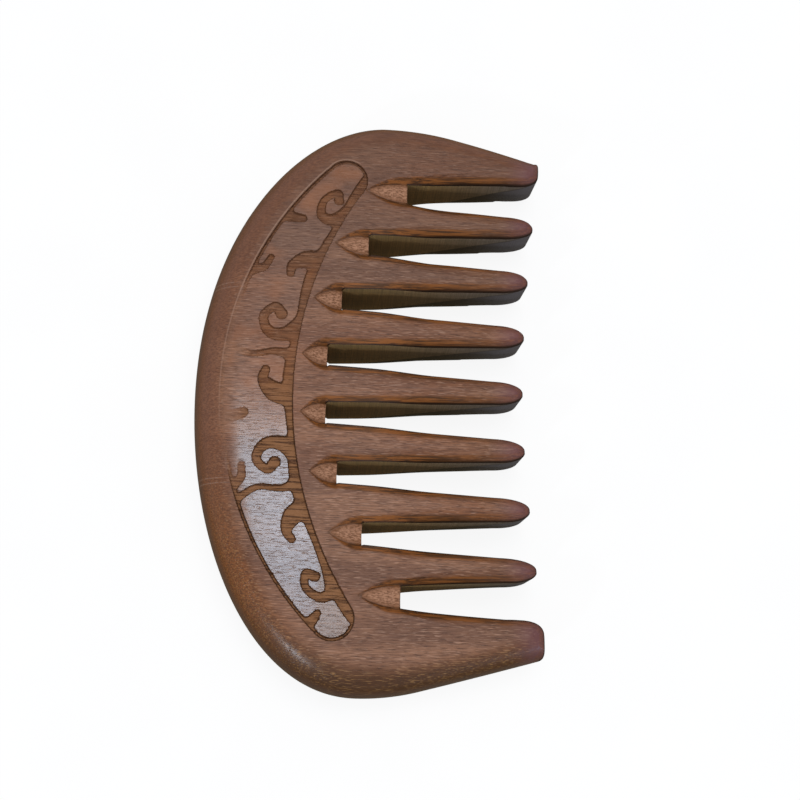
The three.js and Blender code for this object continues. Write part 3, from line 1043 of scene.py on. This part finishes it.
def bevels(f, look, fibres):
    """The cutter left the bevels more orange. Their outer edge is darkened with painted shade."""
    colour, roughness, height = look
    wobble = f.times(f.plus(fibres, -0.5), 1.0)
    strips = f.noise(f.place((0.1, 2.6, 2.6), (3, 3, 9)), 3, 0.6)
    on_bevel = f.ramped(f.plus(f.attribute("bevel"), wobble), -0.25, 0.2, 1, 0)
    fades = f.ramped(f.attribute("along"), 0.45, 0.95, 0.95, 0.3)
    bevel = f.mixed(f.ramped(strips, 0.4, 0.6), shade(130, 76, 30), shade(70, 40, 14))
    colour = f.mixed(f.times(on_bevel, fades), colour, bevel)
    # Painted shade along the bevel's outer edge, where it turns away from the light.
    edge = f.ramped(f.attribute("from_cut"), 0.1, 0.36, 0.92, 0)
    colour = f.mixed(edge, colour, shade(34, 20, 11))
    return colour, f.plus(roughness, f.times(on_bevel, 0.08)), height


def carved_ground(f, look):
    """The recessed ground of the carving, rough and darkly grained, and its burnt edge lines.
    It stands out more at the -Y end, and less towards +Y."""
    colour, roughness, height = look
    strength = f.attribute("strength")
    contrast = f.times(strength, f.ramped(f.along_comb(), -8, 10, 1, 0.15))
    lines = f.noise(f.place((0.12, 3, 3), (2, 4, 0)), 3, 0.65)
    speckle = f.noise(f.place((2.2, 5, 5)), 2, 0.7)
    dark = f.ramped(lines, 0.5, 0.6)
    ground = f.mixed(dark, shade(134, 92, 58), shade(72, 43, 22))
    ground = f.mixed(f.ramped(speckle, 0.42, 0.7, 0, 0.35), ground, shade(152, 108, 80))
    in_ground = f.ramped(f.attribute("ground"), -0.05, 0.1)
    colour = f.mixed(f.times(in_ground, f.blended(contrast, 0.15, 0.95)), colour, ground)
    ragged = f.times(f.plus(speckle, -0.5), 0.2)
    burnt = f.near_zero(f.plus(f.attribute("ground"), ragged), 0.06, 0.2)
    burnt = f.times(burnt, f.times(strength, f.blended(contrast, 0.3, 0.92)))
    colour = f.mixed(burnt, colour, f.mixed(dark, shade(82, 49, 23), shade(50, 29, 13)))
    carved = f.times(in_ground, strength)
    roughness = f.blended(carved, roughness, 0.75)
    rough = f.times(f.plus(f.times(dark, -3), f.times(speckle, 2.5)), carved)
    return colour, roughness, f.plus(height, rough)


def ramp_floors(f, look):
    """The ramps' speckled end grain, darker towards its edges in painted shade, and a painted dark
    line of shade in the crease along its edge.
    """
    colour, roughness, height = look
    dots = f.noise(f.place((1.3, 3.8, 3.8), (4, 4, 4)), 3, 0.65)
    floor = f.mixed(f.ramped(dots, 0.38, 0.64), shade(172, 126, 98), shade(112, 74, 50))
    in_arch = f.attribute("in_arch")
    # Painted shade: the floor darkens towards the ramp's edges, as a hollow would.
    floor = f.mixed(f.ramped(in_arch, 0.1, 1.0, 0.6, 0), floor, shade(106, 64, 32))
    on_floor = f.ramped(in_arch, 0.02, 0.3)
    colour = f.mixed(f.times(on_floor, 0.9), colour, floor)
    # A painted dark line of shade in the crease along the ramp's edge.
    line = f.near_zero(in_arch, 0.05, 0.2, 0.6)
    colour = f.mixed(line, colour, shade(82, 48, 20))
    roughness = f.blended(on_floor, roughness, 0.7)
    return colour, roughness, f.plus(height, f.times(on_floor, f.times(dots, 2.5)))


def sawn_walls(f, look):
    """The slots' walls with their saw marks: olive brown at the roots, and dark there below the
    ridge in painted shade, but grey on both sides of it towards the tips, which is partly painted
    light: the brighter, bluish reflection where the slots open up. A painted dark line of shade
    runs along the ridge."""
    colour, roughness, height = look
    marks = f.noise(f.place((5.5, 5.5, 0.1), (1, 0, 0)), 2, 0.6)
    streaks = f.noise(f.place((0.1, 1, 2.4), (6, 0, 0)), 2, 0.6)
    along = f.attribute("along")
    # Greyer towards the tips: partly the wood's colour, and partly painted light where the slots
    # open up.
    plain = f.mixed(f.ramped(along, 0.1, 1.0), shade(152, 120, 76), shade(116, 104, 98))
    wall = f.mixed(f.ramped(marks, 0.35, 0.65, 0, 0.4), plain, shade(80, 68, 44))
    wall = f.mixed(f.ramped(streaks, 0.4, 0.7, 0, 0.3), wall, shade(84, 74, 54))
    ridge = f.attribute("ridge")
    # Painted shade below the ridge at the roots, and a painted bluish grey reflection there towards
    # the tips.
    below = f.ramped(ridge, -0.2, 0.1, 0.8, 0)
    lower = f.mixed(f.ramped(along, 0.5, 1), shade(44, 34, 22), shade(104, 98, 102))
    wall = f.mixed(below, wall, lower)
    # A painted dark line of shade along the ridge.
    line = f.near_zero(ridge, 0.05, 0.3, 0.5)
    wall = f.mixed(line, wall, shade(26, 22, 18))
    on_wall = f.attribute("wall")
    colour = f.mixed(on_wall, colour, wall)
    roughness = f.blended(on_wall, roughness, 0.6)
    return colour, roughness, f.blended(on_wall, height, f.times(marks, 2))


def floor_finish():
    """White paper, lit through a little from behind, so that it stays pale between the teeth."""
    f = Finish("pale_floor")
    grain = f.noise(f.node("TexCoord").outputs["Object"], 2, 0.5, 40)
    colour = f.mixed(f.ramped(grain, 0.3, 0.7), shade(84, 84, 85), shade(87, 87, 87))
    f.wire(colour, f.shader.inputs["Base Color"])
    f.shader.inputs["Roughness"].default_value = 0.9
    f.shader.inputs["Specular IOR Level"].default_value = 0.1
    f.shader.inputs["Emission Color"].default_value = (1, 1, 1, 1)
    f.shader.inputs["Emission Strength"].default_value = FLOOR_GLOW
    return f.material


# ---- Pieces, floor, light and camera ---------------------------------------------------------


def add_comb():
    comb = bpy.data.objects.new("carved_comb", comb_mesh())
    bpy.context.collection.objects.link(comb)
    comb.data.materials.append(wood_finish())
    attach(comb, "root")
    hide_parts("comb")


def add_floor():
    side = FLOOR_HALF_SIDE
    mesh = bpy.data.meshes.new("floor")
    corners = [(-side, -side, 0), (side, -side, 0), (side, side, 0), (-side, side, 0)]
    mesh.from_pydata(corners, [], [(0, 1, 2, 3)])
    floor = bpy.data.objects.new("floor", mesh)
    bpy.context.collection.objects.link(floor)
    floor.location.z = FLOOR_LEVEL * MM
    # The floor's glow neither lights the comb from below nor shows in its polish.
    floor.visible_diffuse = False
    floor.visible_glossy = False
    mesh.materials.append(floor_finish())


def add_light(name, place, size, brightness, colour):
    """A soft rectangular light that faces the comb. Its brightness is that of its surface, where
    1 looks as bright as a white page."""
    light = bpy.data.lights.new(name, "AREA")
    light.shape = "RECTANGLE"
    light.size, light.size_y = size
    light.energy = brightness * math.pi * size[0] * size[1]
    light.color = colour
    holder = bpy.data.objects.new(name, light)
    bpy.context.collection.objects.link(holder)
    holder.location = place
    holder.rotation_euler = Vector(place).to_track_quat("Z", "Y").to_euler()


def add_sky():
    """An even light from above and from the sides, and hardly any from below."""
    world = bpy.data.worlds.new("studio")
    bpy.context.scene.world = world
    world.use_nodes = True
    sky = Nodes(world.node_tree)
    direction = sky.node("TexCoord").outputs["Generated"]
    up = sky.node("SeparateXYZ", {"Vector": direction}).outputs["Z"]
    colour = sky.mixed(sky.ramped(up, -0.35, -0.05), LIGHT_FROM_BELOW, SKY_LIGHT)
    sky.wire(colour, world.node_tree.nodes["Background"].inputs["Color"])


def add_camera():
    """Looks down on the comb from a little towards -Y, so that the slots' upper walls show."""
    camera = bpy.data.cameras.new("camera")
    camera.sensor_width = 36
    camera.lens = CAMERA_LENS
    camera.clip_start = 0.01
    holder = bpy.data.objects.new("camera", camera)
    bpy.context.collection.objects.link(holder)
    turn = Matrix.Identity(3)
    for axis, angle in CAMERA_TURN.items():
        turn = turn @ Matrix.Rotation(angle, 3, axis)
    across, along, above = CAMERA_PLACE
    place = Matrix.Translation((across, along, above + MIDDLE * MM))
    holder.matrix_world = place @ turn.to_4x4()
    bpy.context.scene.camera = holder


add_camera()
add_comb()
add_floor()
add_sky()
for light_name, light in LIGHTS.items():
    add_light(light_name, *light)
bpy.context.scene.view_settings.view_transform = "Standard"
